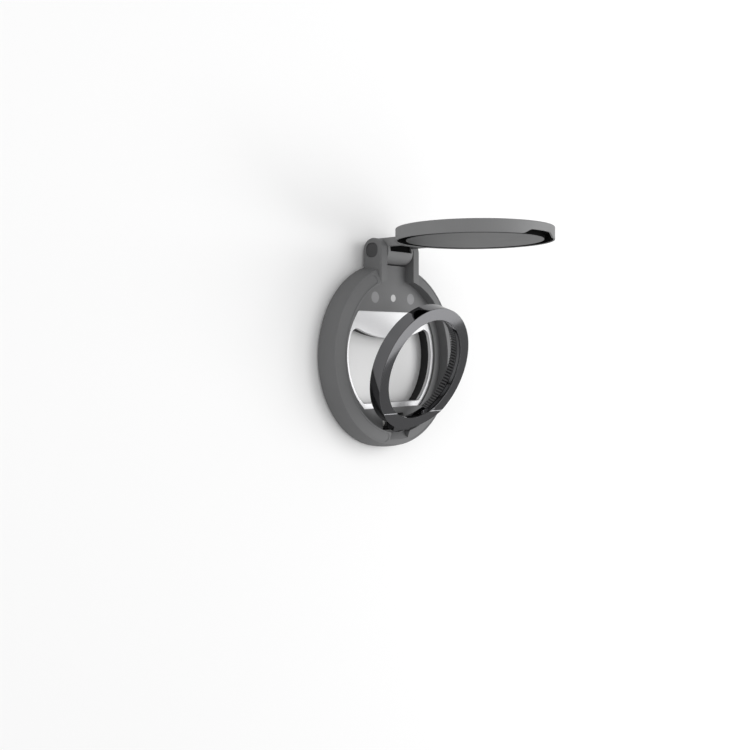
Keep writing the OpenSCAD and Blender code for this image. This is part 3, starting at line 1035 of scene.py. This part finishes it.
    def build(self) -> None:
        """Builds the shell, its inner disc and both black linings, which are painted shade."""
        shell = self._cup().join(self._tongue())
        relief, relief_shade = self._relief()
        pin = (self.hinge.y, self.hinge.z)
        shell.cut(Form.rod("bush_hole", self.bush_r, -8, 8, pin, Axis.X), self._scoop(), relief)
        # The shell takes the housing plastic painted lighter, as painted light on its outer wall.
        shell.finish("lid", HOUSING_LIT, "lid_shell")
        # Painted shade: the black lining stands for the lid's shadow on the foot of the tongue.
        relief_shade.finish("lid", PAINTED_SHADE)
        self._disc().finish("lid", HOUSING, "lid_disc")
        # Painted shade in the groove between the disc and the rim.
        self._groove_shade().finish("lid", PAINTED_SHADE)


@dataclass
class FingerLoop:
    """The metal loop: a band with a fold near its foot, a lug and a hinge barrel."""

    pin_y: float = -21.08
    pin_z: float = 3.81
    tilt: float = 20.0
    reach: float = 20.7
    rise: float = 8.1
    outer: float = 19.9
    inner: float = 16.1
    width: float = 4.4
    fold: float = -14.0
    slope: float = 11.0
    fold_round: float = 2.5
    corner: float = 0.16
    liner_front: float = 1.95
    liner_seat: float = 17.1
    rib_root: float = 16.6
    groove: float = 0.15
    lug_half: float = 3.85
    lug_t: float = 1.2
    lug_top: float = 2.9
    barrel_r: float = 1.35
    bush_r: float = 1.0
    slope_soft: float = 0.12
    groove_below: float = 0.48
    groove_above: float = 0.23

    def place(self) -> Matrix:
        """Place of the loop's own frame: the centre of its front face."""
        return (
            Matrix.Translation((0, self.pin_y, self.pin_z))
            @ Matrix.Rotation(math.radians(self.tilt), 4, "X")
            @ Matrix.Translation((0, self.reach, self.rise))
        )

    def _section(self) -> list[Point]:
        """Draws the band's section, plain inside, with its corners rounded.

        Returns:
            The outline, as radius and height.
        """
        soft = self.corner
        section = arc((self.outer - soft, -soft), soft, 0, 90, 4)
        section += arc((self.inner + soft, -soft), soft, 90, 180, 4)
        section += [(self.inner, -self.width)]
        section += arc((self.outer - soft, -self.width + soft), soft, 270, 360, 4)
        return section[::-1]

    def _groove(self, level: float) -> Form:
        """Models a fine groove round the inside of the lip.

        Args:
            level: The height of its middle.

        Returns:
            The cutter.
        """
        fine, deep = 0.065, self.inner + self.groove
        near, wide = self.inner - 2 * self.groove, 0.21
        outline = [(near, level - wide), (deep, level - fine), (deep, level + fine), (near, level + wide)]
        return Form.lathe("groove", outline)

    def _lean(self) -> Form:
        """Models what the sloped face takes off, with a small round at the fold.

        Returns:
            The cutter.
        """
        slope, near, far, above = math.radians(self.slope), self.fold + 1.5, -40.0, 9.0
        centre = (self.fold + self.fold_round * math.tan(slope / 2), -self.fold_round)
        bend = arc(centre, self.fold_round, 90 + 0.5, 90 + self.slope, 4)
        fall = (self.fold - far) * math.tan(slope)
        outline = [(near, 0.05), *bend, (far, -fall), (far, above), (near, above)]
        return Form.prism("lean", outline, -30, 30, Axis.X)

    def _seat(self) -> Form:
        """Models the liner's seat, open at the band's back.

        Returns:
            The cutter.
        """
        near, front, back = self.inner - 1, -self.liner_front, -self.width - 1
        section = [(near, front), (self.liner_seat, front), (self.liner_seat, back), (near, back)]
        return Form.lathe("liner_seat", section)

    def _grooves(self) -> Form:
        """Models both fine grooves in the lip, past the fold only.

        Returns:
            The cutter.
        """
        over = [(-30, self.fold), (30, self.fold), (30, 30), (-30, 30)]
        pair = self._groove(-self.groove_below).join(self._groove(self.groove_above - self.liner_front))
        return pair.keep(Form.prism("past_fold", over, -9, 3))

    def _lug(self) -> tuple[Form, Form]:
        """Models the lug out of the band's foot and the hinge barrel at its end.

        Returns:
            The lug and the barrel.
        """
        back, front = -self.reach - self.lug_t / 2, -self.reach + self.lug_t / 2
        root, under = -self.liner_seat - 0.3, -self.width + 0.1
        outline = [
            (back, -self.rise), (front, -self.rise), (front, under), (root, under),
            (root, -self.lug_top), (back, -self.lug_top),
        ]
        along, pin = (-self.lug_half, self.lug_half), (-self.reach, -self.rise)
        lug = Form.prism("lug", outline, *along, Axis.X)
        return lug, Form.rod("barrel", self.barrel_r, *along, pin, Axis.X)

    def build(self) -> None:
        """Builds the loop."""
        band = Form.lathe("finger_band", self._section())
        band.cut(self._lean(), self._seat(), self._grooves())
        lean = math.tan(math.radians(self.slope))

        def on_slope(a: Vector, b: Vector) -> bool:
            """Tells whether an edge runs round the sloped face, clear of the fold.

            Args:
                a: One end of the edge.
                b: Its other end.

            Returns:
                Whether it does.
            """
            return all(p.y < self.fold - 0.85 and abs(p.z - (p.y - self.fold) * lean) < 0.02 for p in (a, b))

        band.soften(self.slope_soft, on_slope)
        band.join(*self._lug())
        band.cut(Form.rod("bush_hole", self.bush_r, -9, 9, (-self.reach, -self.rise), Axis.X, 32))
        band.put(self.place()).finish("loop", LOOP, "finger_loop")


class Seen(Enum):
    """Which rays a lamp answers."""

    MATT = "matt"
    GLOSSY = "glossy"


@dataclass(frozen=True)
class Lamp:
    """A soft rectangular light that faces the part."""

    name: str
    at: tuple
    along: tuple
    size: tuple
    power: float
    seen: Seen

    def hang(self) -> None:
        """Hangs the light."""
        data = bpy.data.lights.new(self.name, "AREA")
        data.shape = "RECTANGLE"
        data.size, data.size_y = (side * MM for side in self.size)
        data.energy = self.power
        lamp = bpy.data.objects.new(self.name, data)
        bpy.context.scene.collection.objects.link(lamp)
        lamp.visible_glossy = self.seen is Seen.GLOSSY
        lamp.visible_diffuse = self.seen is Seen.MATT
        back = Vector(self.at).normalized()
        along = Vector(self.along)
        along = (along - back * along.dot(back)).normalized()
        turn = Matrix((along.cross(back), along, back)).transposed().to_4x4()
        lamp.matrix_world = Matrix.Translation(Vector(self.at) * MM) @ turn


ACROSS = (0.437, 0.839, -0.323)


@dataclass
class Studio:
    """Floor, lights and camera: matt lamps light the object, glossy ones show in its metal."""

    shown_floor: float = 0.9
    lit_floor: float = 0.6
    sky: float = 0.6
    dark_sky: float = 0.34
    lens: float = 46.13
    shift: float = -0.0372
    camera_at: tuple = (-229.86, 2.65, 203.99)
    camera_right: tuple = (0.6684, 0.0, 0.7438)
    camera_look: tuple = (0.7438, 0.0, -0.6684)
    lamps: tuple = (
        Lamp("key", (530.0, 60.0, 680.0), ACROSS, (760.0, 760.0), 5.6, Seen.MATT),
        Lamp("side", (-600.0, 150.0, 260.0), (0.0, 1.0, 0.0), (400.0, 400.0), 0.75, Seen.MATT),
        Lamp("card", (453.5, -31.4, 532.3), ACROSS, (620.0, 620.0), 1.6, Seen.GLOSSY),
        Lamp("strip", (514.0, -418.0, 240.0), (0.0, 0.6, 0.8), (320.0, 56.0), 0.2, Seen.GLOSSY),
    )

    def camera(self) -> None:
        """Puts the camera where the photograph was taken from."""
        data = bpy.data.cameras.new("camera")
        data.lens = self.lens
        data.sensor_width = 36.0
        data.shift_y = self.shift
        data.clip_start = 0.01
        data.clip_end = 20.0
        camera = bpy.data.objects.new("camera", data)
        bpy.context.scene.collection.objects.link(camera)
        right, look = Vector(self.camera_right), Vector(self.camera_look)
        turn = Matrix((right, Vector((0.0, 1.0, 0.0)), -look)).transposed().to_4x4()
        camera.matrix_world = Matrix.Translation(Vector(self.camera_at) * MM) @ turn
        bpy.context.scene.camera = camera

    def floor(self) -> None:
        """Lays the pale floor that the back rests on."""
        bpy.ops.object.select_all(action="DESELECT")
        bpy.ops.mesh.primitive_plane_add(size=4.0, location=(0.0, 0.0, -0.0001))
        floor = bpy.context.object
        floor.name = "floor"
        tone = (self.lit_floor,) * 3
        material = Finish("floor", "", tone, spread=0.0, roughness=0.9, bump_mm=0.0, specular=0.0).material()
        tree = material.node_tree
        direct = make(tree, "ShaderNodeLightPath", {}, {}, out="Is Camera Ray")
        shade = direct.mix(tone, (self.shown_floor,) * 3)
        feed(tree, tree.nodes["Principled BSDF"].inputs["Base Color"], shade)
        floor.data.materials.append(material)

    def world(self) -> None:
        """Sets an even white sky, darker in reflections so that gloss and metal have contrast."""
        world = bpy.data.worlds.new("world")
        world.use_nodes = True
        tree = world.node_tree
        glossy = make(tree, "ShaderNodeLightPath", {}, {}, out="Is Glossy Ray")
        ground = tree.nodes["Background"]
        ground.inputs["Color"].default_value = (1.0, 1.0, 1.0, 1.0)
        feed(tree, ground.inputs["Strength"], glossy * (self.dark_sky - self.sky) + self.sky)
        bpy.context.scene.world = world

    def build(self) -> None:
        """Builds the whole studio."""
        bpy.context.scene.view_settings.view_transform = "Standard"
        self.world()
        self.camera()
        self.floor()
        for lamp in self.lamps:
            lamp.hang()


def paint_rib_shade(material: bpy.types.Material, loop: FingerLoop) -> None:
    """Paints shade into the liner towards the bottom of its ribs, darkening the rib valleys where shadow
    falls.

    Args:
        material: The liner's material.
        loop: The loop that it lines.
    """
    tree = material.node_tree
    shader = tree.nodes["Principled BSDF"]
    colour = Sock(tree, shader.inputs["Base Color"].links[0].from_socket)
    where = make(tree, "ShaderNodeTexCoord", {}, {}, out="Object")
    centre, turn = loop.place().to_translation() * MM, (math.radians(loop.tilt), 0.0, 0.0)
    values = {"Vector": where, "Location": centre, "Rotation": turn}
    local = make(tree, "ShaderNodeMapping", {"vector_type": "TEXTURE"}, values)
    across = {0: local, 1: Vector((1.0, 1.0, 0.0))}
    flat = make(tree, "ShaderNodeVectorMath", {"operation": "MULTIPLY"}, across)
    radius = make(tree, "ShaderNodeVectorMath", {"operation": "LENGTH"}, {0: flat}, out="Value")
    rib_shade = radius.ramp((loop.inner + 0.15) * MM, (loop.rib_root - 0.05) * MM)
    # Painted shade: the rib valleys blend towards near black.
    feed(tree, shader.inputs["Base Color"], rib_shade.mix(colour, COVER.colour))


def dress_nodes(nodes: dict) -> None:
    """Gives the CAD nodes that stay their materials.

    Args:
        nodes: The frame's nodes by name.
    """
    for finish, names in NODE_FINISHES.items():
        material = finish.material()
        # The liner gets painted shade in its rib valleys.
        if finish is LINER:
            paint_rib_shade(material, FingerLoop())
        for name in names:
            mesh = nodes[name].data
            mesh.materials.clear()
            mesh.materials.append(material)
        LOG.info("%s on %s", finish.name, ", ".join(names))


def main() -> None:
    """Builds the scene."""
    logging.basicConfig(level=logging.INFO, format="%(name)s: %(message)s")
    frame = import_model()
    Studio().build()
    dress_nodes(frame["nodes"])
    hinge, opener = Hinge(), Opener()
    Housing(hinge, opener).build()
    opener.build()
    PinCaps(hinge).build()
    Lid(hinge).build()
    FingerLoop().build()


if __name__ == "__main__":
    main()
